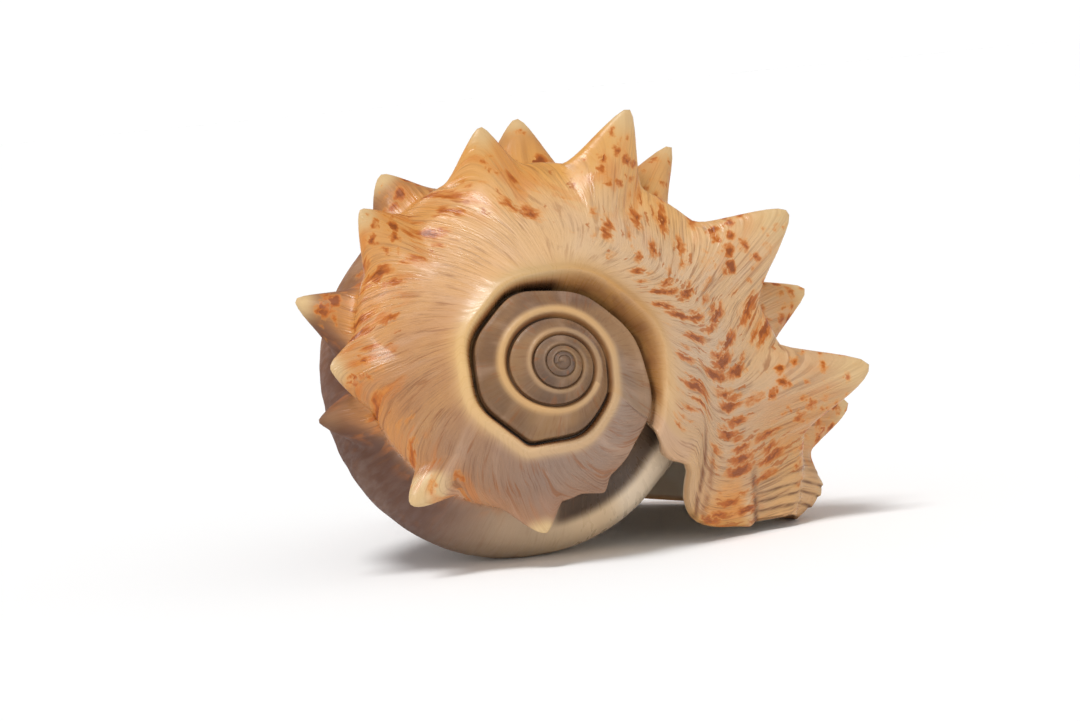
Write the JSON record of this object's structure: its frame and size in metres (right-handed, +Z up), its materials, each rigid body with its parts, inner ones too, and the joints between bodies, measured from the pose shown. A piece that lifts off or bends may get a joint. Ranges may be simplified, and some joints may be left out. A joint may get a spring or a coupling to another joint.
{
  "type": "crown conch shell",
  "caption": "Crown conch sea shell with a low spire, channelled suture, two rows of spines and a flared lip, lying on its open aperture.",
  "frame": {"origin": "on the surface that the shell lies on, under the middle of its bounding box", "axes": "+Z up, +Y from the apex towards the tip of the siphonal canal, +X towards the outer lip"},
  "size_m": [0.0982, 0.1108, 0.0752],
  "materials": {
    "shell": "glossy tan shell with brown flecks, cream rim and spine tips, and a pale callus"
  },
  "bodies": {
    "root": {"shell": "shell"}
  },
  "joints": []
}
